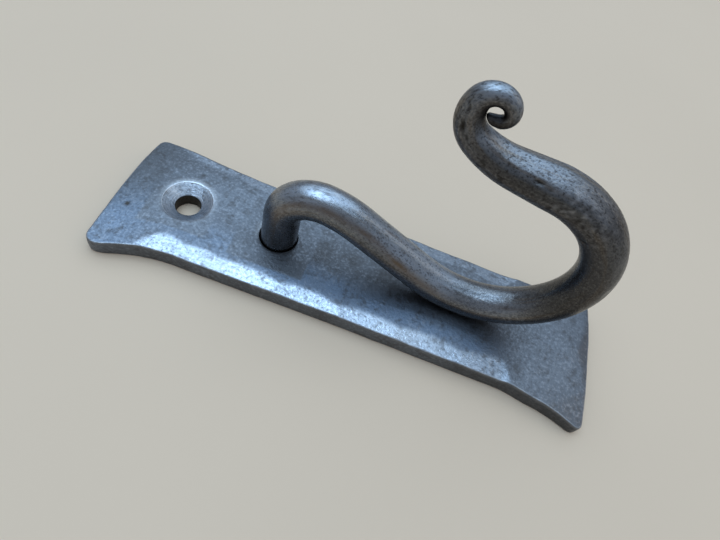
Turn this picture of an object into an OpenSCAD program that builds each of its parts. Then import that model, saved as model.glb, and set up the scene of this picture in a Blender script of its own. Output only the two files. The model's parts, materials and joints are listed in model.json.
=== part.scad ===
// Hand-forged meat hook: a round-bar hook welded through a hammered backplate.
// The plate lies flat, back face on z = 0, with its face towards +Z. The screw hole is near
// the -X end (the screw end), and the hook's big loop is above the +X end (the toe end).
// "Front" is the -Y long edge and "rear" is the +Y long edge.

/* [Backplate] */
// Overall length of the plate along its centreline
plate_length = 109; // [106:0.5:116]
// Width across the straight waist
waist_width = 26.4; // [24:0.2:29]
// Thickness in the middle of the plate
plate_thick = 4.7; // [4.3:0.1:4.7]
// How far each end bulges out between its corners
end_crown = 0.5; // [0.1:0.1:1.5]

/* [Corner flares] */
// Distance from the screw end at which its two flares begin
screw_flare_length = 16; // [14:0.5:18]
// Distance from the toe end at which its two flares begin
toe_flare_length = 22; // [18:0.5:26]
// Radius of the flare at the screw end's front corner
screw_front_flare_r = 20; // [19:1:40]
// Radius of the flare at the screw end's rear corner
screw_rear_flare_r = 110; // [40:1:200]
// Radius of the flare at the toe end's front corner
toe_front_flare_r = 60; // [40:1:200]
// Radius of the flare at the toe end's rear corner
toe_rear_flare_r = 80; // [40:1:200]
// Rounding of the screw end's front corner
screw_front_round = 2.6; // [1:0.1:3]
// Rounding of the other three corners
corner_round = 1.5; // [0.8:0.1:2.5]

/* [Hammered bevels] */
// Width of the bevel along each long edge
bevel_width = 3.8; // [3:0.1:5]
// Drop of that bevel at the waist's edge
bevel_drop = 0.7; // [0.3:0.1:1]
// Width of the bevel across the toe end
toe_bevel_width = 2.6; // [1.5:0.1:3.5]
// Drop of the toe end's bevel
toe_bevel_drop = 0.6; // [0.2:0.1:1]

/* [Screw hole] */
// Distance of the screw hole's centre from the screw end
screw_hole_inset = 14.2; // [12:0.1:15]
// Diameter of the hole's straight wall
screw_bore_d = 5.6; // [4.5:0.1:6]
// Diameter of the countersink at the plate's face
countersink_d = 10.6; // [9.5:0.1:11]
// Included angle of the countersink, cut with a drill's point
countersink_angle = 114; // [90:2:118]

/* [Shank hole and rear weld] */
// Diameter of the hole that the hook's shank passes through
shank_hole_d = 9; // [8.6:0.1:9.4]
// Depth of the conical weld recess in the back face
recess_depth = 2.1; // [1.5:0.1:2.5]
// How far the weld is ground below the back face
weld_relief = 0.1; // [0.05:0.05:0.3]
// Thickness of weld metal under the end of the shank
weld_cap = 0.7; // [0.5:0.1:1]

/* [Hook] */
// Diameter of the round bar
bar_d = 8; // [7.8:0.1:8]
// Distance of the shank's axis behind the plate's centre, towards the screw end
shank_offset = 19; // [17:0.5:20]
// Height at which the shank starts to bend over
shank_top = 12.5; // [12.5:0.1:16]
// Thickness of the drawn-down tip
tip_d = 1.9; // [1.4:0.1:2.1]
// How early the taper thins: 1 is even, more keeps it thick for longer
taper_power = 1.2; // [1:0.05:1.3]

/* [Hidden] */

$fn = 64;
eps = 0.01;
over = 1;

end_x = plate_length / 2 - end_crown;
waist_half = waist_width / 2;
bore_r = screw_bore_d / 2;
countersink_r = countersink_d / 2;
countersink_depth = (countersink_r - bore_r) / tan(countersink_angle / 2);
shank_hole_r = shank_hole_d / 2;
bar_r = bar_d / 2;
screw_x = screw_hole_inset - plate_length / 2;
recess_r = shank_hole_r + recess_depth;
shank_foot = weld_relief + weld_cap;
nest_gap = 0.02;
nest_reach = 0.2;
horn_sides = 28;

// The bar's route in the XZ plane, foot to tip, after the straight shank. Each step is
// [radius, angle] for a bend, where a positive angle turns clockwise seen from the front,
// or [0, length] for a straight.
bar_route = [
    [8, 97],     // arch over from the shank
    [21.5, 19],  // ease down towards the plate
    [0, 16.5],   // straight run down
    [24, -25],   // belly that meets the plate
    [18, -176]   // big open loop
];
// The drawn-down end, which starts where the loop ends.
horn_route = [
    [0, 7],      // straight arm
    [18, 26],    // reverse bend
    [5.6, 75],   // neck of the scroll
    [2.8, 151],  // scroll
    [1.6, 97],   // curl of the tip
    [0, 0.5]     // tip, which ends just short of the neck
];

steel = [0.30, 0.32, 0.36];
bar_steel = [0.24, 0.23, 0.23];
weld_steel = [0.36, 0.34, 0.32];

// ---------- plate outline ----------

// One corner of the outline, from its end round to the waist, in the quadrant +X +Y.
// It is a rounding of radius r that meets an outward flare of radius flare_r.
function corner_points(flare_length, flare_r, r) =
    let (
        flare_x = end_x - flare_length,
        round_x = end_x - r,
        run = round_x - flare_x,
        rise = sqrt(pow(flare_r + r, 2) - run * run),
        round_y = waist_half + flare_r - rise,
        lean = asin(run / (flare_r + r))
    )
    concat(
        [for (i = [0 : 6]) let (a = i * (90 + lean) / 6)
            [round_x + r * cos(a), round_y + r * sin(a)]],
        [for (i = [1 : 7]) let (a = lean * (1 - i / 7))
            [flare_x + flare_r * sin(a), waist_half + flare_r * (1 - cos(a))]]
    );

// A corner moved to another quadrant by the signs sx and sy.
function placed(points, sx, sy) = [for (p = points) [sx * p.x, sy * p.y]];
function reversed(points) = [for (i = [len(points) - 1 : -1 : 0]) points[i]];

// The bulge of one end between its corners, from y = -1 to 1 times the half width.
function crown_points(sx) =
    [for (t = [-0.75 : 0.25 : 0.75])
        [sx * (end_x + end_crown * (1 - t * t)), sx * t * waist_half]];

function plate_outline() =
    concat(
        placed(corner_points(screw_flare_length, screw_front_flare_r, screw_front_round), -1, -1),
        reversed(placed(corner_points(toe_flare_length, toe_front_flare_r, corner_round), 1, -1)),
        crown_points(1),
        placed(corner_points(toe_flare_length, toe_rear_flare_r, corner_round), 1, 1),
        reversed(placed(corner_points(screw_flare_length, screw_rear_flare_r, corner_round), -1, 1)),
        crown_points(-1)
    );

// ---------- backplate ----------

// What the hammer took off one long edge: a block tilted so that its underside is the bevel.
module edge_bevel(side) {
    tilt = atan(bevel_drop / bevel_width);
    inner_start = screw_flare_length - end_x;
    inner_end = end_x - toe_flare_length + 4;
    outer_start = inner_start - 8;
    outer_end = inner_end + 4;
    reach = 12;
    translate([0, side * (waist_half - bevel_width), plate_thick])
        rotate([-side * tilt, 0, 0])
            linear_extrude(height = 4)
                polygon([
                    [inner_start, 0],
                    [inner_end, 0],
                    [outer_end, side * reach],
                    [outer_start, side * reach]
                ]);
}

// The same across the toe end.
module toe_bevel() {
    tilt = atan(toe_bevel_drop / toe_bevel_width);
    translate([end_x - toe_bevel_width, -30, plate_thick])
        rotate([0, tilt, 0])
            cube([10, 60, 4]);
}

module screw_hole() {
    translate([screw_x, 0, -over])
        cylinder(h = plate_thick + 2 * over, r = bore_r);
    translate([screw_x, 0, plate_thick - countersink_depth])
        cylinder(h = countersink_depth + eps, r1 = bore_r, r2 = countersink_r + eps);
}

module shank_hole() {
    translate([-shank_offset, 0, -over])
        cylinder(h = plate_thick + 2 * over, r = shank_hole_r);
    translate([-shank_offset, 0, -eps])
        cylinder(h = recess_depth + eps, r1 = recess_r + eps, r2 = shank_hole_r);
}

module backplate() {
    color(steel)
        difference() {
            linear_extrude(height = plate_thick)
                polygon(plate_outline());
            edge_bevel(-1);
            edge_bevel(1);
            toe_bevel();
            screw_hole();
            shank_hole();
        }
}

// ---------- hook ----------
// A state along the bar is [x, z, heading], with the heading in degrees up from +X.

function right_of(h) = [sin(h), -cos(h)];
function bend_side(angle) = angle > 0 ? 1 : -1;

// Centre of the bend that starts at state s.
function bend_centre(s, r, angle) =
    [s[0], s[1]] + r * bend_side(angle) * right_of(s[2]);

// State reached a part t (0 to 1) of the way along one step of a route.
function along(s, step, t) =
    step[0] == 0
        ? [s[0] + t * step[1] * cos(s[2]), s[1] + t * step[1] * sin(s[2]), s[2]]
        : let (
            h = s[2] - t * step[1],
            c = bend_centre(s, step[0], step[1]),
            p = c - step[0] * bend_side(step[1]) * right_of(h)
        )
        [p[0], p[1], h];

function state_after(s, route, count) =
    count == 0 ? s : along(state_after(s, route, count - 1), route[count - 1], 1);

function step_length(step) = step[0] == 0 ? step[1] : step[0] * abs(step[1]) * PI / 180;
function length_before(route, count) =
    count == 0 ? 0 : length_before(route, count - 1) + step_length(route[count - 1]);

shank_end = [-shank_offset, shank_top, 90];
horn_start = state_after(shank_end, bar_route, len(bar_route));
horn_length = length_before(horn_route, len(horn_route));

// One full-thickness step of the bar, starting at state s. A nested step is a hair thinner
// and reaches a little way into the steps before and after it.
module bar_step(s, step, nested) {
    r = nested ? bar_r - nest_gap : bar_r;
    reach = nested ? nest_reach : 0;
    if (step[0] == 0) {
        translate([s[0], 0, s[1]])
            rotate([0, 90 - s[2], 0])
                translate([0, 0, -reach])
                    cylinder(h = step[1] + 2 * reach, r = r);
    } else {
        c = bend_centre(s, step[0], step[1]);
        first = step[1] > 0 ? s[2] + 90 - step[1] : s[2] - 90;
        extra = reach / step[0] * 180 / PI;
        translate([c[0], 0, c[1]])
            rotate([90, 0, 0])
                rotate([0, 0, first - extra])
                    rotate_extrude(angle = abs(step[1]) + 2 * extra)
                        translate([step[0], 0])
                            circle(r = r);
    }
}

// Radius of the drawn-down end at distance d from its start.
function horn_radius(d) =
    bar_r - (bar_r - tip_d / 2) * pow(min(d / horn_length, 1), taper_power);

// Sections of the drawn-down end, each [x, z, heading, radius], with about 1 mm between them.
function horn_sections() =
    concat(
        [for (k = [0 : len(horn_route) - 1])
            let (
                step = horn_route[k],
                s = state_after(horn_start, horn_route, k),
                before = length_before(horn_route, k),
                n = max(4, ceil(abs(step[0] == 0 ? 0 : step[1]) / 12))
            )
            for (i = [0 : n - 1])
                concat(along(s, step, i / n), [horn_radius(before + i / n * step_length(step))])
        ],
        // The tip is closed by a rounded nose.
        [let (s = state_after(horn_start, horn_route, len(horn_route)), r = tip_d / 2)
            for (a = [0 : 18 : 72])
                [s[0] + r * sin(a) * cos(s[2]), s[1] + r * sin(a) * sin(s[2]), s[2], r * cos(a)]]
    );

module horn() {
    sides = horn_sides;
    sections = horn_sections();
    last = len(sections) - 1;
    points = [
        for (q = sections)
            for (j = [0 : sides - 1])
                let (a = 360 * j / sides, r = q[3] / cos(180 / sides))
                [
                    q[0] - r * cos(a) * sin(q[2]),
                    r * sin(a),
                    q[1] + r * cos(a) * cos(q[2])
                ]
    ];
    walls = [
        for (i = [0 : last - 1])
            for (j = [0 : sides - 1])
                let (k = (j + 1) % sides)
                [i * sides + j, i * sides + k, (i + 1) * sides + k, (i + 1) * sides + j]
    ];
    start_cap = [for (j = [sides - 1 : -1 : 0]) j];
    tip_cap = [for (j = [0 : sides - 1]) last * sides + j];
    polyhedron(points = points, faces = concat([start_cap], walls, [tip_cap]));
}

module hook() {
    color(bar_steel) {
        translate([-shank_offset, 0, shank_foot])
            cylinder(h = shank_top - shank_foot, r = bar_r);
        for (k = [0 : len(bar_route) - 1])
            bar_step(state_after(shank_end, bar_route, k), bar_route[k], k % 2 == 0);
        horn();
    }
}

// ---------- rear weld ----------

// Weld metal that fills the conical recess around and under the shank's foot.
module rear_weld() {
    color(weld_steel)
        difference() {
            translate([-shank_offset, 0, weld_relief])
                cylinder(
                    h = recess_depth - weld_relief,
                    r1 = recess_r - weld_relief,
                    r2 = shank_hole_r
                );
            translate([-shank_offset, 0, shank_foot])
                cylinder(h = recess_depth, r = bar_r);
        }
}

backplate();
hook();
rear_weld();
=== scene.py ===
import json
import math

import bmesh
import bpy
import numpy as np
from mathutils import Matrix, Vector, noise


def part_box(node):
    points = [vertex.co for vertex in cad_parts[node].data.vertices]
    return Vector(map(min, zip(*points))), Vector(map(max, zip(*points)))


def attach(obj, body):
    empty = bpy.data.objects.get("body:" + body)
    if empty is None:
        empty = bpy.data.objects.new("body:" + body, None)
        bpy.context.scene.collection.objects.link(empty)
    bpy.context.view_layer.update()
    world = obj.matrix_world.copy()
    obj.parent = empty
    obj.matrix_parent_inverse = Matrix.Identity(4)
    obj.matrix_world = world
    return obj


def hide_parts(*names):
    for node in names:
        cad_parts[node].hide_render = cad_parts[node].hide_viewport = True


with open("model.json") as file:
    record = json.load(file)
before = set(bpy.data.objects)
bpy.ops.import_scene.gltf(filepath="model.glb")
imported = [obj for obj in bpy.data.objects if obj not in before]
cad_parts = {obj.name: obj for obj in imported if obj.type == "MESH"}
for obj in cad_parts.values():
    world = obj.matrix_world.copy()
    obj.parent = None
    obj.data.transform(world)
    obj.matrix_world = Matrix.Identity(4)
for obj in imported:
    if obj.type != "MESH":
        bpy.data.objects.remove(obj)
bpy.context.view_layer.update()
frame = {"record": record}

# Lengths below are in millimetres. make_object turns them into metres.
MM = 0.001


# ---------------------------------------------------------------- helpers

def box_mm(node):
    """The low and high corners of a node's box."""
    low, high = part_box(node)
    return np.array(low) / MM, np.array(high) / MM


def smoothstep(a, b, x):
    """0 at a and before, 1 at b and after, with a smooth rise between."""
    t = np.clip((np.asarray(x, float) - a) / (b - a), 0.0, 1.0)
    return t * t * (3 - 2 * t)


def soft_min(a, b, k):
    """The lower of two heights, with the crease between them rounded over about k."""
    h = np.clip(0.5 + 0.5 * (b - a) / k, 0.0, 1.0)
    return b * (1 - h) + a * h - k * h * (1 - h)


def perlin(points, scale, seed=0.0):
    """Smooth noise, about -1 to 1, at an array of points. scale is features per millimetre."""
    shift = Vector((seed * 17.3, seed * 5.1, -seed * 9.7))
    return np.array([noise.noise(Vector(p) * scale + shift) for p in points])


def fractal(points, scale, octaves, seed):
    """Noise with finer and finer layers added."""
    total, gain = np.zeros(len(points)), 1.0
    for i in range(octaves):
        total += gain * perlin(points, scale * 2 ** i, seed + i * 3.7)
        gain *= 0.5
    return total


def make_object(name, verts_mm, faces, material, attributes=None, vectors=None):
    mesh = bpy.data.meshes.new(name)
    mesh.from_pydata([tuple(v) for v in np.asarray(verts_mm) * MM], [], faces)
    mesh.validate(clean_customdata=False)
    for key, values in (attributes or {}).items():
        layer = mesh.attributes.new(key, "FLOAT", "POINT")
        layer.data.foreach_set("value", np.asarray(values, np.float32))
    for key, values in (vectors or {}).items():
        layer = mesh.attributes.new(key, "FLOAT_VECTOR", "POINT")
        layer.data.foreach_set("vector", np.asarray(values, np.float32).ravel())
    bm = bmesh.new()
    bm.from_mesh(mesh)
    bmesh.ops.recalc_face_normals(bm, faces=bm.faces)
    bm.to_mesh(mesh)
    bm.free()
    mesh.polygons.foreach_set("use_smooth", [True] * len(mesh.polygons))
    mesh.materials.append(material)
    obj = bpy.data.objects.new(name, mesh)
    bpy.context.scene.collection.objects.link(obj)
    return obj


# ---------------------------------------------------------------- node materials

class Graph:
    """Short names for the nodes that the steel materials share."""

    def __init__(self, name):
        self.material = bpy.data.materials.new(name)
        self.material.use_nodes = True
        self.nodes = self.material.node_tree.nodes
        self.links = self.material.node_tree.links
        self.shader = self.nodes["Principled BSDF"]

    def put(self, socket, value):
        if isinstance(value, bpy.types.NodeSocket):
            self.links.new(value, socket)
        else:
            socket.default_value = value

    def attribute(self, name, output="Fac"):
        node = self.nodes.new("ShaderNodeAttribute")
        node.attribute_name = name
        return node.outputs[output]

    def position(self):
        return self.nodes.new("ShaderNodeTexCoord").outputs["Object"]

    def stretch(self, vector, scale):
        node = self.nodes.new("ShaderNodeMapping")
        self.put(node.inputs["Vector"], vector)
        node.inputs["Scale"].default_value = scale
        return node.outputs["Vector"]

    def noise(self, vector, scale, detail=3.0, roughness=0.55, distortion=0.0):
        node = self.nodes.new("ShaderNodeTexNoise")
        self.put(node.inputs["Vector"], vector)
        node.inputs["Scale"].default_value = scale
        node.inputs["Detail"].default_value = detail
        node.inputs["Roughness"].default_value = roughness
        node.inputs["Distortion"].default_value = distortion
        return node.outputs["Fac"]

    def span(self, value, a, b, low=0.0, high=1.0):
        node = self.nodes.new("ShaderNodeMapRange")
        node.interpolation_type = "SMOOTHSTEP"
        self.put(node.inputs["Value"], value)
        node.inputs["From Min"].default_value = a
        node.inputs["From Max"].default_value = b
        node.inputs["To Min"].default_value = low
        node.inputs["To Max"].default_value = high
        return node.outputs["Result"]

    def math(self, kind, a, b=0.0, clamp=False):
        node = self.nodes.new("ShaderNodeMath")
        node.operation = kind
        node.use_clamp = clamp
        self.put(node.inputs[0], a)
        self.put(node.inputs[1], b)
        return node.outputs[0]

    def mix(self, factor, a, b):
        node = self.nodes.new("ShaderNodeMix")
        node.data_type = "RGBA"
        self.put(node.inputs["Factor"], factor)
        self.put(node.inputs["A"], a)
        self.put(node.inputs["B"], b)
        return node.outputs["Result"]

    def bump(self, height, strength, distance):
        node = self.nodes.new("ShaderNodeBump")
        node.inputs["Strength"].default_value = strength
        node.inputs["Distance"].default_value = distance
        self.put(node.inputs["Height"], height)
        return node.outputs["Normal"]

    def finish(self, color, roughness, normal):
        self.put(self.shader.inputs["Base Color"], color)
        self.put(self.shader.inputs["Roughness"], roughness)
        self.put(self.shader.inputs["Normal"], normal)
        self.shader.inputs["Metallic"].default_value = 1.0
        return self.material


# Colours, linear. The soot colours also paint shade on the plate and the bar.
SCALE_BROWN = (0.150, 0.117, 0.091, 1)
PLATE_SOOT_AND_SHADE = (0.045, 0.041, 0.038, 1)
BAR_SOOT_AND_SHADE = (0.020, 0.018, 0.016, 1)
# How coarse the bar's surface is where the hammer left it smooth. 1 is the coarsest.
SMOOTH_BAR = 0.46


def plate_material():
    g = Graph("plate_steel")
    at = g.position()
    cloud = g.noise(at, 70, 3, 0.55)
    mottle = g.noise(at, 560, 4, 0.6)
    grain = g.noise(at, 1650, 3, 0.6)
    fine = g.noise(at, 3000, 2, 0.6)
    wear = g.attribute("wear")
    # Soot, with painted shade: a shadow under the bar and shade round and inside the holes.
    soot = g.attribute("soot")
    rub = g.attribute("rub")
    # The hammered bevels are crisp; the flat between them is softer.
    crisp = g.math("ADD", g.math("MULTIPLY", rub, 0.4), 0.6)
    flat = g.mix(g.span(cloud, 0.36, 0.66), (0.112, 0.122, 0.140, 1), (0.152, 0.170, 0.198, 1))
    # A painted reflection of the blue sky, in front of the bar and at the screw end.
    flat = g.mix(g.attribute("blue"), flat, (0.160, 0.212, 0.292, 1))
    # The bevels are painted lighter, partly rubbed and partly a painted highlight.
    color = g.mix(rub, flat, (0.325, 0.372, 0.440, 1))
    bright = g.math("MULTIPLY", g.span(grain, 0.50, 0.70, 0, 0.7), crisp)
    color = g.mix(bright, color, g.mix(rub, (0.27, 0.29, 0.33, 1), (0.50, 0.55, 0.62, 1)))
    color = g.mix(g.span(mottle, 0.48, 0.32, 0, 0.6), color, (0.082, 0.084, 0.090, 1))
    dark = g.math("MULTIPLY", g.span(grain, 0.46, 0.28, 0, 0.8), crisp)
    color = g.mix(dark, color, (0.090, 0.092, 0.100, 1))
    color = g.mix(soot, color, PLATE_SOOT_AND_SHADE)
    # Wear, with painted highlights on the front bevel and round the holes' lips.
    color = g.mix(wear, color, (0.60, 0.63, 0.67, 1))
    rough = g.span(grain, 0.35, 0.65, 0.50, 0.37)
    rough = g.math("SUBTRACT", rough, g.math("MULTIPLY", rub, 0.12))
    rough = g.math("ADD", rough, g.math("MULTIPLY", g.math("SUBTRACT", cloud, 0.5), 0.2))
    rough = g.math("SUBTRACT", rough, g.math("MULTIPLY", wear, 0.06), clamp=True)
    height = g.math("ADD", g.math("MULTIPLY", grain, 0.55), g.math("MULTIPLY", mottle, 0.45))
    height = g.math("ADD", height, g.math("MULTIPLY", fine, 0.22))
    height = g.math("MULTIPLY", height, g.math("ADD", crisp, 0.2))
    return g.finish(color, rough, g.bump(height, 0.5, 0.00025))


def bar_material():
    g = Graph("bar_steel")
    at = g.attribute("bar", "Vector")
    cloud = g.noise(g.stretch(at, (1, 1, 0.25)), 0.20, 3, 0.55)
    streak = g.noise(g.stretch(at, (1, 1, 0.06)), 0.75, 3, 0.55, 0.2)
    mottle = g.noise(g.stretch(at, (1, 1, 0.6)), 0.8, 4, 0.6)
    grain = g.noise(g.stretch(at, (1, 1, 0.7)), 2.7, 3, 0.65)
    wear = g.attribute("wear")
    soot = g.attribute("soot")
    # Shaded and lit tones of the bar: the upper sides take the lit one, as painted light.
    dark = g.mix(g.span(cloud, 0.36, 0.66), (0.080, 0.074, 0.070, 1), (0.108, 0.102, 0.100, 1))
    rubbed = g.mix(g.span(cloud, 0.36, 0.66), (0.235, 0.266, 0.308, 1), (0.335, 0.388, 0.466, 1))
    color = g.mix(g.attribute("rub"), dark, rubbed)
    color = g.mix(g.span(streak, 0.52, 0.66, 0, 0.6), color, (0.140, 0.115, 0.092, 1))
    coarse = g.attribute("coarse")
    color = g.mix(g.span(grain, 0.50, 0.70, 0, 0.5), color, (0.29, 0.29, 0.285, 1))
    color = g.mix(g.span(mottle, 0.46, 0.30, 0, 0.6), color, (0.060, 0.056, 0.054, 1))
    grain_strength = g.math("ADD", g.math("MULTIPLY", coarse, 0.55), 0.3)
    dark_grain = g.math("MULTIPLY", g.span(grain, 0.50, 0.32), grain_strength)
    color = g.mix(dark_grain, color, (0.050, 0.047, 0.046, 1))
    color = g.mix(g.attribute("rust"), color, SCALE_BROWN)
    # Soot, with painted shade where the bar goes into the plate, inside the scroll, at the tip and
    # along the arm's front side.
    color = g.mix(soot, color, BAR_SOOT_AND_SHADE)
    color = g.mix(wear, color, (0.46, 0.48, 0.52, 1))
    rough = g.span(grain, 0.35, 0.65, 0.36, 0.25)
    rough = g.math("ADD", rough, g.math("MULTIPLY", g.math("SUBTRACT", cloud, 0.5), 0.2))
    extra = g.math("MULTIPLY", g.math("SUBTRACT", coarse, SMOOTH_BAR), 0.18)
    rough = g.math("ADD", rough, extra, clamp=True)
    height = g.math("ADD", g.math("MULTIPLY", grain, 0.75), g.math("MULTIPLY", mottle, 0.60))
    height = g.math("ADD", height, g.math("MULTIPLY", streak, 0.2))
    height = g.math("MULTIPLY", height, coarse)
    return g.finish(color, rough, g.bump(height, 0.5, 0.00020))


def weld_material():
    g = Graph("weld_metal")
    at = g.position()
    marks = g.noise(g.stretch(at, (0.12, 1, 1)), 2600, 3, 0.6)
    cloud = g.noise(at, 300, 4, 0.6)
    color = g.mix(g.span(cloud, 0.35, 0.7), (0.16, 0.15, 0.145, 1), (0.34, 0.335, 0.33, 1))
    color = g.mix(g.attribute("soot"), color, (0.06, 0.05, 0.045, 1))
    rough = g.span(cloud, 0.3, 0.7, 0.5, 0.34)
    height = g.math("ADD", g.math("MULTIPLY", marks, 0.6), g.math("MULTIPLY", cloud, 0.6))
    return g.finish(color, rough, g.bump(height, 0.6, 0.00012))


# ---------------------------------------------------------------- backplate

plate_high = box_mm("backplate")[1]
weld_low, weld_high = box_mm("rear_weld")
hook_low, hook_high = box_mm("hook")

END_X = plate_high[0]
FACE_Z = plate_high[2]
SHANK_X = (weld_low[0] + weld_high[0]) / 2
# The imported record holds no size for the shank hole, so its radius is stated here.
SHANK_HOLE_R = 4.5
# The recess behind the shank hole is a 45 degree cone this deep.
RECESS_TOP = weld_high[2]
SCREW = next(m for m in frame["record"]["mounts"] if m["name"] == "screw_hole")
SCREW_X = SCREW["pos_m"][0] / MM
BORE_R = SCREW["dims"]["r_mm"]
BORE_TOP = SCREW["dims"]["length_mm"]
# The countersink: its radius at the face, the depth of its worn lip, and its mesh rings.
SINK_R = 5.3
SINK_LIP = 0.12
SINK_STEPS = 28
# The burr round the shank hole, row by row: how far in, how far down, wear, and soot with painted
# shade that deepens down into the gap round the bar.
SHANK_BURR = (
    (-0.14, -0.02, 0.1, 0.15),
    (-0.34, -0.09, 0.0, 0.4),
    (-0.30, -0.30, 0.0, 0.9),
    (-0.05, -0.8, 0.0, 1.0),
)
# How worn the plate's upper edge is, as a radius.
EDGE_R = 0.35
# The height at which the outer wall starts to round under.
WALL_LOW = 0.3
# Spacing of the plate's mesh, and the nominal width that sets its number of cells across.
STEP = 0.42
CELLS_WIDTH = 27
# Each hole is set in a square patch of the face. These are half the patches' sizes.
SCREW_PATCH = 7.6
SHANK_PATCH = 8.6
# Hammer blows along the two long edges: x of the blow, |y| where its dent starts, slope,
# and how fast the dent rises to its left and right.
FRONT_BLOWS = (
    (-39.8, 9.0, 0.165, 0.0280, 0.0080),
    (-32.2, 9.4, 0.180, 0.0060, 0.0050),
    (-21.5, 9.4, 0.165, 0.0024, 0.0030),
    (-8.5, 9.3, 0.175, 0.0036, 0.0032),
    (6.5, 9.3, 0.165, 0.0024, 0.0034),
    (19.5, 9.0, 0.175, 0.0026, 0.0040),
    (34.6, 8.1, 0.138, 0.0026, 0.0700),
)
REAR_BLOWS = (
    (-38.0, 9.8, 0.085, 0.0022, 0.0020),
    (-25.0, 9.4, 0.140, 0.0022, 0.0030),
    (-11.0, 9.7, 0.170, 0.0030, 0.0040),
    (2.0, 9.2, 0.160, 0.0040, 0.0028),
    (16.5, 9.5, 0.180, 0.0028, 0.0036),
    (31.0, 9.0, 0.165, 0.0034, 0.0260),
)
# The plate thins towards its corners: which corner, where the slope starts, how steep it is.
CORNER_SLOPES = (
    (-1, -1, 42.0, 6.5, 0.068),
    (-1, 1, 44.0, 9.0, 0.050),
    (1, -1, 37.5, 8.3, 0.050),
    (1, 1, 40.0, 8.0, 0.055),
    (1, -1, 46.0, 10.0, 0.135),
)
# The widest that the flare at the screw end's front corner gets, from the centreline.
FRONT_LIMIT = 17.3


def front_edge(x):
    """How far the front edge stands from the centreline at x."""
    w = 13.25 + 0.45 * smoothstep(0, -36, x) + np.maximum(-36 - x, 0) ** 2 / 66
    w = w + 0.75 * smoothstep(35.5, 43, x) + np.maximum(x - 38, 0) ** 2 / 77
    return soft_min(w, FRONT_LIMIT, 0.9)


def rear_edge(x):
    """The same for the rear edge."""
    w = 13.05 + 0.4 * smoothstep(-15, 8, x) + np.maximum(x - 36, 0) ** 2 / 130
    return w + 0.95 * smoothstep(-30, -50, x)


def toe_end(y):
    """Where the toe end stands at y. It falls back a little towards its rear corner."""
    return END_X - 0.12 - 0.08 * (y / 15) ** 2 - 0.60 * (np.maximum(y, 0) / 15) ** 2


def screw_end(y):
    """Where the screw end stands at y."""
    return -END_X + 0.05 + 0.75 * (np.maximum(y + 3, 0) / 16) ** 2


def length_along(line):
    """Distance of each point of a line from its first point."""
    return np.concatenate([[0], np.cumsum(np.linalg.norm(np.diff(line, axis=0), axis=1))])


def plate_outline():
    """Four sides of the outline, each from one corner's middle to the next, counter-clockwise."""
    t = np.linspace(0, 1, 400)

    def corner(sx, sy):
        y = sy * 14.0
        for _ in range(30):
            x = toe_end(y) if sx > 0 else screw_end(y)
            y = sy * float(front_edge(x) if sy < 0 else rear_edge(x))
        return np.array([float(x), y])

    c = [corner(-1, -1), corner(1, -1), corner(1, 1), corner(-1, 1)]
    front_x = c[0][0] + (c[1][0] - c[0][0]) * t
    toe_y = c[1][1] + (c[2][1] - c[1][1]) * t
    rear_x = c[2][0] + (c[3][0] - c[2][0]) * t
    screw_y = c[3][1] + (c[0][1] - c[3][1]) * t
    sides = [
        np.stack([front_x, -front_edge(front_x)], 1),
        np.stack([toe_end(toe_y), toe_y], 1),
        np.stack([rear_x, rear_edge(rear_x)], 1),
        np.stack([screw_end(screw_y), screw_y], 1),
    ]
    # How much of each corner the rounding takes.
    cut = [2.6, 1.9, 1.9, 2.1]

    trimmed = []
    for i, line in enumerate(sides):
        s = length_along(line)
        want = np.linspace(cut[i], s[-1] - cut[(i + 1) % 4], 260)
        trimmed.append(np.stack([np.interp(want, s, line[:, k]) for k in (0, 1)], 1))
    rounded = []
    for i in range(4):
        a, b = trimmed[i - 1][-1], trimmed[i][0]
        u = np.linspace(0, 1, 17)[:, None]
        curve = (1 - u) ** 2 * a + 2 * u * (1 - u) * c[i] + u ** 2 * b
        rounded.append((curve[:9], curve[8:]))
    return [
        np.concatenate([rounded[i][1][:-1], trimmed[i], rounded[(i + 1) % 4][0][1:]])
        for i in range(4)
    ]


def resample(line, count):
    """The same line as count equal steps."""
    s = length_along(line)
    want = np.linspace(0, s[-1], count + 1)
    return np.stack([np.interp(want, s, line[:, k]) for k in (0, 1)], 1)


def blow_heights(x, away, blows):
    """Lowest of the dents that a row of hammer blows leaves along one edge."""
    lowest = np.full(len(x), 50.0)
    for at, start, slope, left, right in blows:
        rise = left * np.maximum(at - x, 0) ** 2 + right * np.maximum(x - at, 0) ** 2
        lowest = soft_min(lowest, FACE_Z - slope * (away - start) + rise, 0.02)
    return lowest


def face_height(x, y):
    """The worked front face of the plate."""
    x, y = np.asarray(x, float), np.asarray(y, float)
    flat = np.stack([x, y, np.zeros_like(x)], 1)
    z = np.full(len(x), FACE_Z - 0.03)
    z = soft_min(z, blow_heights(x, -y, FRONT_BLOWS), 0.12)
    z = soft_min(z, blow_heights(x, y, REAR_BLOWS), 0.10)
    for sx, sy, start_x, start_y, slope in CORNER_SLOPES:
        away = 0.6 * (sx * x - start_x) + 0.8 * (sy * y - start_y)
        z = soft_min(z, FACE_Z - slope * away, 0.03)
    toe = FACE_Z - 0.24 * (x - 51.7 + 0.35 * perlin(flat, 0.15, 4))
    z = soft_min(z, toe, 0.12)
    z = soft_min(z, FACE_Z - 0.20 * (-53.0 - x), 0.1)
    z += 0.035 * fractal(flat, 0.09, 2, 1) + 0.020 * perlin(flat, 0.33, 2)
    z += 0.010 * perlin(flat, 0.9, 6)
    return np.minimum(z, FACE_Z)


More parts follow.
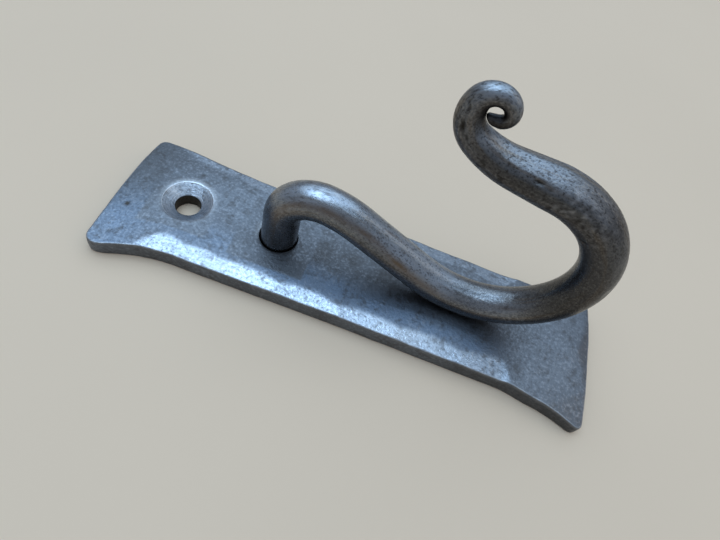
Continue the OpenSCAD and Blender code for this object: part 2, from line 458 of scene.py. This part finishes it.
# Pits in the plate's face: x, y, radius, depth.
PLATE_PITS = (
    (-51.0, -6.0, 0.55, 0.16),
    (-50.8, -13.4, 0.50, 0.14),
    (-47.2, -10.4, 0.40, 0.07),
    (-40.6, 8.2, 0.55, 0.10),
    (-39.0, 7.0, 0.45, 0.14),
    (-38.0, 6.5, 0.40, 0.10),
    (-37.0, 7.6, 0.50, 0.06),
    (-33.8, 6.2, 0.45, 0.05),
    (-46.0, 5.6, 0.9, 0.05),
    (-12.4, 7.6, 0.7, 0.07),
    (14.0, 8.4, 0.8, 0.06),
    (27.5, -3.6, 0.6, 0.06),
    (45.2, -2.5, 0.9, 0.05),
    (33.0, -10.4, 0.5, 0.08),
)


def pit_depth(x, y):
    """How far the pits lower the face."""
    depth = np.zeros(len(x))
    for px, py, r, d in PLATE_PITS:
        q = ((x - px) ** 2 + (y - py) ** 2) / r ** 2
        depth += d * np.exp(-q * 1.5)
    return depth


def face_look(x, y):
    """Height, wear with painted highlight, soot with painted shade, rub with painted light, and
    painted sky reflection at points of the front face.
    """
    flat = np.stack([x, y, np.zeros_like(x)], 1)
    pits = pit_depth(x, y)
    z = face_height(x, y) - pits
    # Soot and painted shade: a painted shadow under the bar, painted shade round the shank's hole,
    # darker towards the rear of the screw end, and soot in the pits.
    bar_shadow = np.exp(-((y - 0.5) / 4.6) ** 2) * smoothstep(-20, -13, x) * smoothstep(45, 30, x)
    reach = np.hypot(x - SHANK_X, y)
    soot = 0.55 * bar_shadow * (0.8 + 0.5 * perlin(flat, 0.25, 12))
    soot = soot + 0.12 * np.exp(-((reach - SHANK_HOLE_R) / 1.3) ** 2)
    soot = soot + 0.42 * smoothstep(-41, -54, x) * smoothstep(-13, -2, y)
    soot = soot + np.minimum(8.0 * pits, 0.75)
    # The hammered bevels are rubbed and painted lighter, as a highlight, and two stretches of the
    # front one carry a stronger painted highlight.
    rub = smoothstep(0.0, 0.22, FACE_Z - blow_heights(x, -y, FRONT_BLOWS))
    rub = rub * (1 - 0.45 * smoothstep(26, 34, x) - 0.1 * smoothstep(-24, -32, x))
    painted_bevel_highlight = 0.14 * np.exp(-((x + 27) / 8) ** 2) + 0.22 * np.exp(-((x - 13) / 9) ** 2)
    wear = rub * painted_bevel_highlight
    rear_drop = FACE_Z - blow_heights(x, y, REAR_BLOWS)
    rub = np.maximum(rub, 0.5 * smoothstep(0.04, 0.20, rear_drop))
    # A painted reflection of the blue sky tints the flat in front of the bar and the front of the
    # screw end.
    blue = np.exp(-((y + 7.4) / 3.4) ** 2) * smoothstep(38, 29, x)
    blue = blue * (0.55 * smoothstep(-50, -40, x) + 0.45 * smoothstep(-27, -17, x))
    blue = blue + 0.70 * smoothstep(-42, -50, x) * smoothstep(4, -8, y)
    blue = blue * (0.85 + 0.4 * perlin(flat, 0.2, 14))
    return z, wear, soot, rub, blue


def back_look(x, y):
    """The same at points of the back, which is flat and dull."""
    flat = np.stack([x, y, np.zeros_like(x)], 1)
    z = 0.05 + 0.05 * np.abs(fractal(flat, 0.12, 2, 21))
    return z, 0.0, 0.25 + 0.3 * perlin(flat, 0.2, 22), 0.0, 0.0


class PlateBuilder:
    """Collects the plate's points and faces, and the values that its material reads."""

    def __init__(self):
        self.verts, self.faces = [], []
        self.wear, self.soot, self.rub, self.blue = [], [], [], []

    def add(self, points, wear=0.0, soot=0.0, rub=0.0, blue=0.0):
        first = len(self.verts)
        self.verts.extend(np.asarray(points, float).tolist())
        n = len(points)
        self.wear.extend(np.broadcast_to(wear, n).tolist())
        self.soot.extend(np.broadcast_to(soot, n).tolist())
        self.rub.extend(np.broadcast_to(rub, n).tolist())
        self.blue.extend(np.broadcast_to(blue, n).tolist())
        return list(range(first, first + n))

    def strip(self, a, b):
        """Faces between two closed rings of the same number of points."""
        n = len(a)
        for i in range(n):
            j = (i + 1) % n
            self.faces.append((a[i], a[j], b[j], b[i]))

    def ring(self, previous, xy, z, wear=0.0, soot=0.0, rub=0.0):
        """A closed ring of points at height z, joined to the ring before it."""
        z = np.broadcast_to(z, len(xy))[:, None]
        ids = self.add(np.concatenate([xy, z], 1), wear, soot, rub)
        self.strip(previous, ids)
        return ids


def block(grid_x, grid_y, cx, half):
    """Index ranges of the grid cells that cover a square around a hole."""
    col = grid_x[:, grid_x.shape[1] // 2]
    row = grid_y[grid_y.shape[0] // 2, :]
    i0, i1 = np.abs(col - (cx - half)).argmin(), np.abs(col - (cx + half)).argmin()
    j0, j1 = np.abs(row + half).argmin(), np.abs(row - half).argmin()
    return int(i0), int(i1), int(j0), int(j1)


def block_rim(i0, i1, j0, j1):
    """The grid points round a block, counter-clockwise."""
    return (
        [(i, j0) for i in range(i0, i1)]
        + [(i1, j) for j in range(j0, j1)]
        + [(i, j1) for i in range(i1, i0, -1)]
        + [(i0, j) for j in range(j1, j0, -1)]
    )


def add_outer_wall(p, loop, normal, top_rim, bottom_rim):
    """The wall from the face's rim over the worn edge and down to the back."""
    top_z = np.array([p.verts[k][2] for k in top_rim])
    rim_line = np.concatenate([loop, np.zeros((len(loop), 1))], 1)
    nick = 0.10 * np.maximum(perlin(rim_line, 0.5, 31), 0) ** 2
    corner_radius = EDGE_R * (0.75 + 0.25 * perlin(rim_line, 0.3, 33))
    # Each level: how far it stands out from the outline, its height, and on the worn edge
    # how far round the edge it is, in degrees.
    levels = []
    for a in (25, 50, 72, 90):
        turned = math.radians(a)
        down = corner_radius * (1 - math.cos(turned)) + nick * math.sin(turned)
        levels.append((corner_radius * (math.sin(turned) - 1), top_z - down, a))
    bulge = 0.06 + 0.05 * perlin(rim_line, 0.2, 35)
    wall_top = top_z - corner_radius
    for t in (0.2, 0.4, 0.6, 0.8, 1.0):
        out = bulge * (math.sin(math.pi * t) - 0.4 * t)
        levels.append((out, wall_top + (WALL_LOW - wall_top) * t, None))
    for a in (30, 60):
        turned = math.radians(a)
        out = -0.4 * bulge - WALL_LOW * (1 - math.cos(turned))
        levels.append((out, WALL_LOW - 0.25 * math.sin(turned), None))
    previous = top_rim
    for out, z, a in levels:
        if a is None:
            # The wall is darker towards the toe end.
            wear, soot = 0.0, 0.03 + 0.50 * smoothstep(12, 38, loop[:, 0])
        else:
            # The worn edge is lighter over its top; where it turns down it is painted darker, as
            # shade.
            wear = (0.55 if a < 60 else 0.25) * (0.55 + 0.45 * perlin(rim_line, 0.6, 37))
            soot = 0.0 if a < 70 else 0.4
        xy = loop + normal * out[:, None]
        previous = p.ring(previous, xy, z, np.clip(wear, 0, 1), soot)
    p.strip(previous, bottom_rim)


def add_countersink(p, previous, ring_xy, rough_ring, face_z):
    """A worn lip of depth SINK_LIP, then a cone with tool chatter, down to the bore."""
    wide, deep = SINK_R - BORE_R, FACE_Z - BORE_TOP
    rows = [(0.10, -0.05, 0.5), (0.0, -SINK_LIP, 0.4)]
    for k in range(1, SINK_STEPS + 1):
        gone = k / SINK_STEPS
        marks = (rough_ring + np.array([0, 0, k * 1.7])) * np.array([0.3, 0.3, 1])
        chatter = 0.018 * perlin(marks, 0.9, 43)
        wear = 0.55 * np.clip(0.1 + perlin(marks, 0.7, 44), 0, 1)
        rows.append((-wide * gone, -SINK_LIP - (deep - SINK_LIP) * gone + chatter, wear))
    for dr, dz, wear in rows:
        z = face_z + (face_z - FACE_Z) * dr / SINK_R + dz
        previous = p.ring(previous, ring_xy(SINK_R + dr), z, wear, 0.0, 0.6)
    return previous


def screw_bore_walls():
    """Radius and height of each ring of the screw's bore, down to the back."""
    walls = [(BORE_R, BORE_TOP - 0.25 * k) for k in range(1, 11)]
    return walls + [(BORE_R, 0.2), (BORE_R + 0.15, 0.05)]


def shank_recess_walls():
    """The same for the shank's hole and the cone behind it."""
    back_r = SHANK_HOLE_R + RECESS_TOP
    walls = [(SHANK_HOLE_R, 3.6), (SHANK_HOLE_R, 2.8)]
    walls += [(SHANK_HOLE_R + d, RECESS_TOP - d) for d in (0, 0.7, 1.4)]
    return walls + [(back_r - 0.15, 0.15), (back_r, 0.05)]


def build_plate(material):
    """The plate as one closed mesh: face and back on a grid, then the walls between them."""
    outline = plate_outline()
    nu = int(2 * END_X / STEP)
    nv = int(CELLS_WIDTH / STEP)
    sides = [resample(outline[k], nu if k % 2 == 0 else nv) for k in range(4)]
    loop = np.concatenate([s[:-1] for s in sides])
    # The hammered edge wanders a little, but never past the outline.
    flat = np.concatenate([loop, np.zeros((len(loop), 1))], 1)
    tangent = np.roll(loop, -1, 0) - np.roll(loop, 1, 0)
    tangent /= np.linalg.norm(tangent, axis=1)[:, None]
    normal = np.stack([tangent[:, 1], -tangent[:, 0]], 1)
    wander = 0.10 * np.abs(perlin(flat, 0.11, 8)) + 0.05 * np.abs(perlin(flat, 0.45, 9))
    loop = loop - normal * wander[:, None]
    inner = loop - normal * EDGE_R

    n1, n2, n3 = nu, nu + nv, 2 * nu + nv
    ring = np.concatenate([inner, inner[:1]])
    front, toe = ring[: n1 + 1], ring[n1 : n2 + 1]
    rear, screw = ring[n2 : n3 + 1][::-1], ring[n3:][::-1]
    u = np.linspace(0, 1, nu + 1)[:, None, None]
    v = np.linspace(0, 1, nv + 1)[None, :, None]
    grid = (
        (1 - v) * front[:, None] + v * rear[:, None]
        + (1 - u) * screw[None] + u * toe[None]
        - (1 - u) * (1 - v) * front[0] - u * (1 - v) * front[-1]
        - (1 - u) * v * rear[0] - u * v * rear[-1]
    )
    gx, gy = grid[..., 0], grid[..., 1]
    holes = {
        "screw": (SCREW_X, block(gx, gy, SCREW_X, SCREW_PATCH)),
        "shank": (SHANK_X, block(gx, gy, SHANK_X, SHANK_PATCH)),
    }

    def inside(i, j):
        return any(b[0] < i < b[1] and b[2] < j < b[3] for _, b in holes.values())

    def cell_inside(i, j):
        return any(b[0] <= i < b[1] and b[2] <= j < b[3] for _, b in holes.values())

    p = PlateBuilder()
    index = {}
    for side in ("top", "bottom"):
        keys = [(i, j) for i in range(nu + 1) for j in range(nv + 1) if not inside(i, j)]
        x = np.array([gx[k] for k in keys])
        y = np.array([gy[k] for k in keys])
        z, wear, soot, rub, blue = face_look(x, y) if side == "top" else back_look(x, y)
        ids = p.add(np.stack([x, y, z], 1), wear, np.clip(soot, 0, 1), rub, np.clip(blue, 0, 1))
        index[side] = dict(zip(keys, ids))
        for i in range(nu):
            for j in range(nv):
                if cell_inside(i, j):
                    continue
                q = [index[side][k] for k in ((i, j), (i + 1, j), (i + 1, j + 1), (i, j + 1))]
                p.faces.append(tuple(q if side == "top" else q[::-1]))

    rim = block_rim(0, nu, 0, nv)
    top_rim = [index["top"][k] for k in rim]
    bottom_rim = [index["bottom"][k] for k in rim]
    add_outer_wall(p, loop, normal, top_rim, bottom_rim)

    # Each hole: rings from the square block in the face down through the plate to the back.
    for name, (cx, cells) in holes.items():
        keys = block_rim(*cells)
        top = [index["top"][k] for k in keys]
        bottom = [index["bottom"][k] for k in keys]
        spot = np.array([p.verts[k] for k in top])
        angle = np.arctan2(spot[:, 1], spot[:, 0] - cx)
        away = np.hypot(spot[:, 0] - cx, spot[:, 1])
        ray = np.stack([np.cos(angle), np.sin(angle)], 1)

        def ring_xy(r):
            return np.array([cx, 0.0]) + ray * np.reshape(r, (-1, 1))

        rough_ring = np.concatenate([ray * 3, np.zeros((len(ray), 1))], 1)
        is_screw = name == "screw"
        face_r, steps = (SINK_R, 7) if is_screw else (SHANK_HOLE_R, 10)
        rim_r = face_r + 0.04 * perlin(rough_ring, 0.5, 41)
        if is_screw:
            # The countersink's rim is wider on its rear side.
            rim_r = rim_r + 0.18 + 0.22 * np.maximum(np.sin(angle), 0)
        previous = top
        for k in range(1, steps + 1):
            r = away + (rim_r - away) * k / steps
            xy = ring_xy(r)
            face_z = face_height(xy[:, 0], xy[:, 1]) - pit_depth(xy[:, 0], xy[:, 1])
            lip = np.exp(-((r - rim_r) / 0.7) ** 2)
            face_z = np.minimum(face_z + 0.03 * lip, FACE_Z)
            # Round the shank's hole one side of the lip is painted lighter, as a highlight, and the
            # other darker, as shade; the countersink's lip is painted lighter at its rear.
            if is_screw:
                wear, soot = 0.30 * lip * (0.6 + 0.4 * np.sin(angle)), 0.0
            else:
                side = np.clip(-np.cos(angle + 0.9), 0, 1)
                wear = 0.25 * lip * side
                soot = 0.15 * lip * (1 - side) + 0.1
            previous = p.ring(previous, xy, face_z, np.clip(wear, 0, 1), np.clip(soot, 0, 1))
        if is_screw:
            previous = add_countersink(p, previous, ring_xy, rough_ring, face_z)
            walls = screw_bore_walls()
        else:
            # A burr leans in towards the bar, most of all behind it.
            burr = 1.0 + 0.26 * np.cos(angle - 0.6)
            for dr, dz, wear, soot in SHANK_BURR:
                previous = p.ring(previous, ring_xy(face_r + dr * burr), face_z + dz, wear, soot)
            walls = shank_recess_walls()
        # The walls of the bore and of the recess are painted fully dark, as shade inside the holes.
        for r, z in walls:
            previous = p.ring(previous, ring_xy(r), z, 0.0, 1.0)
        # Five rings of the flat back, from the hole's last ring out to the square block.
        back_r = walls[-1][0]
        for k in range(1, 6):
            r = back_r + (away - back_r) * k / 6
            previous = p.ring(previous, ring_xy(r), 0.06, 0.0, 0.4)
        p.strip(previous, bottom)

    return make_object(
        "forged_backplate", p.verts, p.faces, material,
        {"wear": p.wear, "soot": p.soot, "rub": p.rub, "blue": p.blue},
    )


# ---------------------------------------------------------------- hook

BAR_R = (hook_high[1] - hook_low[1]) / 2
FOOT_Z = hook_low[2]
# The bar's route, foot to tip: (bend radius, angle) turning clockwise seen from the front,
# or (0, length) for a straight.
ROUTE = (
    (0, 12.5 - FOOT_Z),
    (8, 97), (21.5, 19), (0, 16.5), (24, -25), (18, -176),
    (0, 7), (18, 26), (5.6, 75), (2.8, 151), (1.6, 97), (0, 0.5),
)
# The horn is the tapered end of the bar.
HORN_LENGTH = 33.1
TAPER_POWER = 1.2
TIP_R = 0.95
# How far the tip runs on past the route's end, almost to the neck.
TIP_REACH = 0.17
# Points round the bar, and the spacing of its rings.
SIDES = 96
BAR_STEP = 0.35


def route_states(step):
    """Points along the route with their headings in radians and distances."""
    at, heading, gone = np.array([SHANK_X, FOOT_Z]), math.pi / 2, 0.0
    points, headings, distances = [], [], []
    for r, amount in ROUTE:
        length = amount if r == 0 else r * math.radians(abs(amount))
        n = max(4, int(length / step))
        if r == 0:
            ahead = np.array([math.cos(heading), math.sin(heading)])
            for k in range(n):
                points.append(at + ahead * length * k / n)
                headings.append(heading)
                distances.append(gone + length * k / n)
            at = at + ahead * length
        else:
            side = 1 if amount > 0 else -1
            centre = at + r * side * np.array([math.sin(heading), -math.cos(heading)])
            turn = math.radians(amount)
            for k in range(n + 1):
                h = heading - turn * k / n
                q = centre - r * side * np.array([math.sin(h), -math.cos(h)])
                if k < n:
                    points.append(q)
                    headings.append(h)
                    distances.append(gone + length * k / n)
            at, heading = q, heading - turn
        gone += length
    points.append(at)
    headings.append(heading)
    distances.append(gone)
    return np.array(points), np.array(headings), np.array(distances)


# Flats that the hammer left: where each starts and ends along the bar, its direction in
# degrees round the bar at either end, its half width in degrees, and how soon it fades in.
FLATS = (
    (103.0, 131.0, 219, 197, 22, 5.0),
    (102.0, 133.0, 245, 232, 14, 5.0),
    (104.0, 134.0, 271, 262, 16, 5.0),
    (106.0, 130.0, 168, 150, 16, 6.0),
    (105.0, 132.0, 20, 20, 15, 6.0),
    (87.0, 92.5, 224, 228, 14, 2.5),
    (92.5, 99.0, 233, 233, 12, 3.0),
    (42.0, 60.0, 300, 300, 11, 6.0),
    (28.0, 44.0, 38, 38, 11, 6.0),
    (133.0, 141.0, 300, 300, 16, 3.0),
)
# Pits: distance along the bar, direction, half length along and half width across in mm, depth.
BAR_PITS = (
    (133.6, 286, 1.3, 0.45, 0.22),
    (132.2, 272, 0.8, 0.35, 0.12),
    (118.4, 237, 0.95, 0.35, 0.28),
    (104.0, 304, 0.7, 0.45, 0.20),
    (136.6, 290, 0.4, 0.30, 0.14),
    (137.2, 310, 0.4, 0.25, 0.10),
    (129.1, 252, 0.4, 0.22, 0.10),
    (126.1, 176, 0.4, 0.25, 0.12),
    (125.1, 291, 1.4, 0.30, 0.08),
    (112.0, 280, 1.1, 0.40, 0.08),
    (72.2, 346, 0.9, 0.22, 0.07),
    (97.0, 290, 0.5, 0.30, 0.08),
    (92.0, 275, 0.4, 0.25, 0.07),
)

# The brown streak: distances along the bar, and its direction in degrees at each.
STREAK_AT = (14, 21, 29, 36, 41, 56)
STREAK_DIRECTION = (292, 299, 305, 309, 298, 293)


def turn_between(angle, toward):
    """The turn from one direction to another, -pi to pi."""
    return np.mod(angle - toward + math.pi, 2 * math.pi) - math.pi


def bar_unevenness(straight, shape):
    """Three layers of noise over the bar, from broad lumps to fine scale."""
    lumps = perlin(straight * np.array([1, 1, 0.55]), 0.16, 51).reshape(shape)
    ripple = perlin(straight * np.array([1, 1, 0.6]), 0.45, 52).reshape(shape)
    scale = perlin(straight, 1.1, 53).reshape(shape)
    return lumps, ripple, scale


def bar_look(S, T, out_z, straight, pit_soot):
    """Wear, soot with painted shade, rub with painted light, rust and coarseness at distance S and
    direction T on the bar.
    """
    lumps, ripple, scale = bar_unevenness(straight, S.shape)
    # Painted shade darkens the bar where it goes into the plate, inside the scroll and at the tip
    # pressed against the neck.
    soot = np.maximum(pit_soot, 0.8 * smoothstep(4.6, 3.4, S) * (0.6 + 0.4 * ripple))
    inner = np.clip(-np.cos(T), 0, 1)
    soot = np.maximum(soot, 0.85 * smoothstep(126, 138, S) * smoothstep(0.0, 0.7, inner))
    soot = np.maximum(soot, 0.8 * smoothstep(144.0, 146.5, S))
    wear = 0.30 * smoothstep(0.0, 0.5, scale) * smoothstep(0.1, 0.5, lumps)
    # Scale from the fire stays in flecks on the arm's lower faces.
    flecks = fractal(straight * np.array([1, 1, 0.7]), 0.9, 2, 54).reshape(S.shape)
    lower = np.clip(np.cos(T - math.radians(285)), 0, 1) * smoothstep(98, 106, S)
    soot = np.maximum(soot, 0.8 * lower * smoothstep(134, 128, S) * smoothstep(0.34, 0.48, flecks))
    # The upper sides are painted lighter than the undersides, as light and shade; the loop's far
    # turn is darker, and painted shade darkens the belly and the arm.
    up = np.cos(T) * out_z[:, None]
    darker_turn = smoothstep(70, 82, S) * smoothstep(112, 98, S)
    shade = 0.55 * smoothstep(50, 60, S) * smoothstep(82, 72, S)
    shade = shade + 0.52 * smoothstep(98, 106, S) * smoothstep(134, 126, S)
    rub = smoothstep(-0.35, 0.75, up + 0.25 * lumps) * (1 - 0.6 * darker_turn - shade)
    rub = rub + 0.10 * smoothstep(14, 8, S)
    wear = wear * (1 - 0.9 * darker_turn)
    soot = np.maximum(soot, 0.54 * darker_turn)
    # A band along the arm's front side is painted darker, as shade.
    side = np.exp(-((np.mod(T, 2 * math.pi) - math.radians(258)) / 0.5) ** 2)
    soot = np.maximum(soot, 0.60 * side * smoothstep(100, 110, S) * smoothstep(136, 128, S))
    # A brown streak runs down the front of the arch and the straight below it.
    line = np.radians(np.interp(S, STREAK_AT, STREAK_DIRECTION))
    around = turn_between(T, line) * BAR_R
    rust = np.exp(-(around / (0.85 + 0.3 * lumps)) ** 2) * smoothstep(8, 20, S)
    rust = rust * smoothstep(62, 46, S) * (0.75 + 0.5 * ripple)
    # The hammered arm and the straight below the arch are coarser than the rest.
    coarse = SMOOTH_BAR + 0.40 * smoothstep(29, 36, S) * smoothstep(58, 48, S)
    coarse = coarse + (1 - SMOOTH_BAR) * smoothstep(92, 106, S)
    return wear, soot, rub, rust, coarse


def build_hook(material):
    """The bar as one closed tube swept along its route."""
    centre, heading, s = route_states(BAR_STEP)
    total = s[-1]
    thin = np.clip((s - (total - HORN_LENGTH)) / HORN_LENGTH, 0, 1) ** TAPER_POWER
    radius = BAR_R - (BAR_R - TIP_R) * thin
    # The rounded tip and the flat sawn foot close the two ends.
    nose = [math.radians(a) for a in (20, 40, 58, 74, 86)]
    ahead = np.array([math.cos(heading[-1]), math.sin(heading[-1])])
    for a in nose:
        beyond = ahead * (TIP_REACH + TIP_R * math.sin(a))
        centre = np.concatenate([centre, [centre[len(s) - 1] + beyond]])
        heading = np.append(heading, heading[len(s) - 1])
        radius = np.append(radius, TIP_R * math.cos(a) ** 0.6)
    s = np.concatenate([s, [total + TIP_REACH + TIP_R * math.sin(a) for a in nose]])

    theta = np.arange(SIDES) * 2 * math.pi / SIDES
    # S is the distance along the bar and T the direction round it. T = 0 is the outer side
    # of the arch.
    S, T = np.meshgrid(s, theta, indexing="ij")
    R = np.repeat(radius[:, None], SIDES, 1)
    for start, end, first, last, half, fade in FLATS:
        along = np.clip((S - start) / (end - start), 0, 1)
        toward = np.radians(first + (last - first) * along)
        here = smoothstep(start, start + fade, S) * smoothstep(end, end - fade, S)
        depth = (1 - math.cos(math.radians(half))) * here - 0.02 * (1 - here)
        turn = np.cos(T - toward)
        flat = np.where(turn > 0.2, R * (1 - depth) / np.maximum(turn, 0.05), 99.0)
        R = soft_min(R, np.minimum(flat, R + 5), 0.008 * BAR_R)
    straight = np.stack([R * np.cos(T), R * np.sin(T), S], -1).reshape(-1, 3)
    lumps, ripple, scale = bar_unevenness(straight, S.shape)
    body = (R / BAR_R).clip(0.25, 1)
    R = R - body * (0.045 + 0.045 * lumps + 0.03 + 0.03 * ripple + 0.010 + 0.010 * scale)
    pit_soot = np.zeros_like(R)
    for at, toward, along, across, depth in BAR_PITS:
        around = turn_between(T, math.radians(toward)) * R
        dent = np.exp(-(((S - at) / along) ** 2 + (around / across) ** 2) ** 1.5)
        R = R - depth * dent
        pit_soot = np.maximum(pit_soot, np.minimum(1.0, depth * 6) * dent)

    # The tip is almost closed up against the neck, so its end leans parallel to it.
    lean = 0.75 * smoothstep(total - 1.4, total + 0.6, S) * R * np.cos(T)
    out_x, out_z = -np.sin(heading), np.cos(heading)
    verts = np.stack(
        [
            centre[:, 0:1] + R * np.cos(T) * out_x[:, None] - lean * ahead[0],
            R * np.sin(T),
            centre[:, 1:2] + R * np.cos(T) * out_z[:, None] - lean * ahead[1],
        ],
        -1,
    )
    wear, soot, rub, rust, coarse = bar_look(S, T, out_z, straight, pit_soot)

    rows, n = len(s), SIDES
    faces = []
    for i in range(rows - 1):
        for j in range(n):
            k = (j + 1) % n
            faces.append((i * n + j, i * n + k, (i + 1) * n + k, (i + 1) * n + j))
    verts = verts.reshape(-1, 3).tolist()
    bar = straight.tolist()
    flat_soot, flat_wear = soot.ravel().tolist(), np.clip(wear, 0, 1).ravel().tolist()
    flat_rub = rub.ravel().tolist()
    flat_rust = np.clip(rust, 0, 1).ravel().tolist()
    flat_coarse = coarse.ravel().tolist()
    # A hub closes each end.
    tip = centre[-1] + ahead * 0.03
    for row, hub_at, where in ((0, centre[0], 0.0), (rows - 1, tip, float(s[-1]))):
        verts.append((hub_at[0], 0, hub_at[1]))
        bar.append((0, 0, where))
        flat_soot.append(0.2)
        flat_wear.append(0.0)
        flat_rub.append(0.3)
        flat_rust.append(0.0)
        flat_coarse.append(1.0)
        hub = len(verts) - 1
        for j in range(n):
            k = (j + 1) % n
            a, b = row * n + j, row * n + k
            faces.append((hub, b, a) if row == 0 else (hub, a, b))
    return make_object(
        "forged_hook", verts, faces, material,
        {
            "wear": flat_wear, "soot": flat_soot, "rub": flat_rub,
            "rust": flat_rust, "coarse": flat_coarse,
        },
        {"bar": bar},
    )


# ---------------------------------------------------------------- rear weld

def build_weld(material):
    """Ground weld metal: a flat, slightly uneven disc with a cone behind it."""
    n = 64
    theta = np.arange(n) * 2 * math.pi / n
    cap_z, foot_z = weld_low[2], FOOT_Z
    rim = weld_high[0] - SHANK_X
    rings = []
    for r in np.linspace(0.4, rim - 0.12, 14):
        rings.append((r, None))
    rings += [(rim - 0.02, cap_z + 0.06), (rim - 0.9, cap_z + 0.9), (SHANK_HOLE_R, RECESS_TOP)]
    rings += [(BAR_R + 0.02, RECESS_TOP), (BAR_R + 0.02, foot_z + 0.02), (0.4, foot_z + 0.01)]
    verts, soot = [], []
    for r, z in rings:
        x, y = SHANK_X + r * np.cos(theta), r * np.sin(theta)
        if z is None:
            flat = np.stack([x, y, np.zeros(n)], 1)
            z = cap_z + 0.02 + 0.04 * np.abs(fractal(flat, 0.35, 3, 61))
            dirt = np.clip(0.2 + 0.5 * fractal(flat, 0.5, 2, 62) + smoothstep(rim - 1, rim, r), 0, 1)
        else:
            z, dirt = np.full(n, z), np.ones(n)
        verts.extend(np.stack([x, y, z], 1).tolist())
        soot.extend(dirt.tolist())
    faces = []
    for i in range(len(rings) - 1):
        for j in range(n):
            k = (j + 1) % n
            faces.append((i * n + j, (i + 1) * n + j, (i + 1) * n + k, i * n + k))
    for row, z in ((0, cap_z + 0.03), (len(rings) - 1, foot_z + 0.01)):
        verts.append((SHANK_X, 0, z))
        soot.append(0.3)
        hub = len(verts) - 1
        for j in range(n):
            k = (j + 1) % n
            a, b = row * n + j, row * n + k
            faces.append((hub, a, b) if row == 0 else (hub, b, a))
    return make_object("ground_weld", verts, faces, material, {"soot": soot})


plate = build_plate(plate_material())
hook = build_hook(bar_material())
weld = build_weld(weld_material())
for piece, node, slot in (
    (plate, "backplate", "plate_steel"),
    (hook, "hook", "bar_steel"),
    (weld, "rear_weld", "weld_metal"),
):
    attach(piece, "root")
    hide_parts(node)


# ---------------------------------------------------------------- stage, light, camera

def plain_material(name, color, roughness):
    g = Graph(name)
    tone = g.noise(g.position(), 9, 3, 0.5)
    tint = g.mix(g.span(tone, 0.3, 0.7), color, tuple(c * 0.975 for c in color[:3]) + (1,))
    g.put(g.shader.inputs["Base Color"], tint)
    g.shader.inputs["Roughness"].default_value = roughness
    return g.material


# Half the floor's size, in metres.
FLOOR_HALF = 3.0
floor_mesh = bpy.data.meshes.new("floor")
bm = bmesh.new()
bmesh.ops.create_grid(bm, x_segments=8, y_segments=8, size=FLOOR_HALF)
bm.to_mesh(floor_mesh)
bm.free()
floor = bpy.data.objects.new("floor", floor_mesh)
floor_mesh.materials.append(plain_material("floor", (0.600, 0.470, 0.352, 1), 0.75))
bpy.context.scene.collection.objects.link(floor)


def area_light(name, size, power, color, place, aim):
    """A soft rectangular lamp. size, place and aim are in metres."""
    data = bpy.data.lights.new(name, "AREA")
    data.shape = "RECTANGLE"
    data.size, data.size_y = size
    data.energy = power
    data.color = color
    lamp = bpy.data.objects.new(name, data)
    lamp.location = place
    lamp.rotation_euler = (Vector(aim) - Vector(place)).to_track_quat("-Z", "Y").to_euler()
    bpy.context.scene.collection.objects.link(lamp)


# A wide cool ceiling, a smaller bluer window and a weak warm lamp at the toe end.
area_light("sky", (1.75, 1.75), 12.8, (0.59, 0.80, 1.0), (-0.14, 0.28, 1.02), (-0.08, 0, 0.01))
area_light("window", (0.75, 0.70), 4.2, (0.53, 0.76, 1.0), (-0.31, 0.02, 1.08), (0, 0, 0.02))
area_light("room", (0.5, 1.0), 1.2, (1.0, 0.88, 0.72), (0.98, 0.30, 0.75), (0, 0, 0.02))

world = bpy.data.worlds.new("studio")
bpy.context.scene.world = world
world.use_nodes = True
world.node_tree.nodes["Background"].inputs["Color"].default_value = (0.82, 0.89, 1.0, 1)
world.node_tree.nodes["Background"].inputs["Strength"].default_value = 0.44

# The camera looks down at the plate from in front, with the screw end at its left.
LENS_MM = 26.167
camera_data = bpy.data.cameras.new("camera")
camera_data.sensor_width = 36.0
camera_data.lens = LENS_MM
camera_data.clip_start = 0.002
camera = bpy.data.objects.new("camera", camera_data)
right = Vector((0.9318, 0.2911, 0.2170)).normalized()
ahead = Vector((0.0146, 0.5670, -0.8236)).normalized()
up = right.cross(ahead).normalized()
right = ahead.cross(up).normalized()
turn = Matrix((right, up, -ahead)).transposed().to_4x4()
camera.matrix_world = Matrix.Translation((-0.00151, -0.06542, 0.09889)) @ turn
bpy.context.scene.collection.objects.link(camera)
bpy.context.scene.camera = camera
bpy.context.scene.view_settings.view_transform = "Standard"
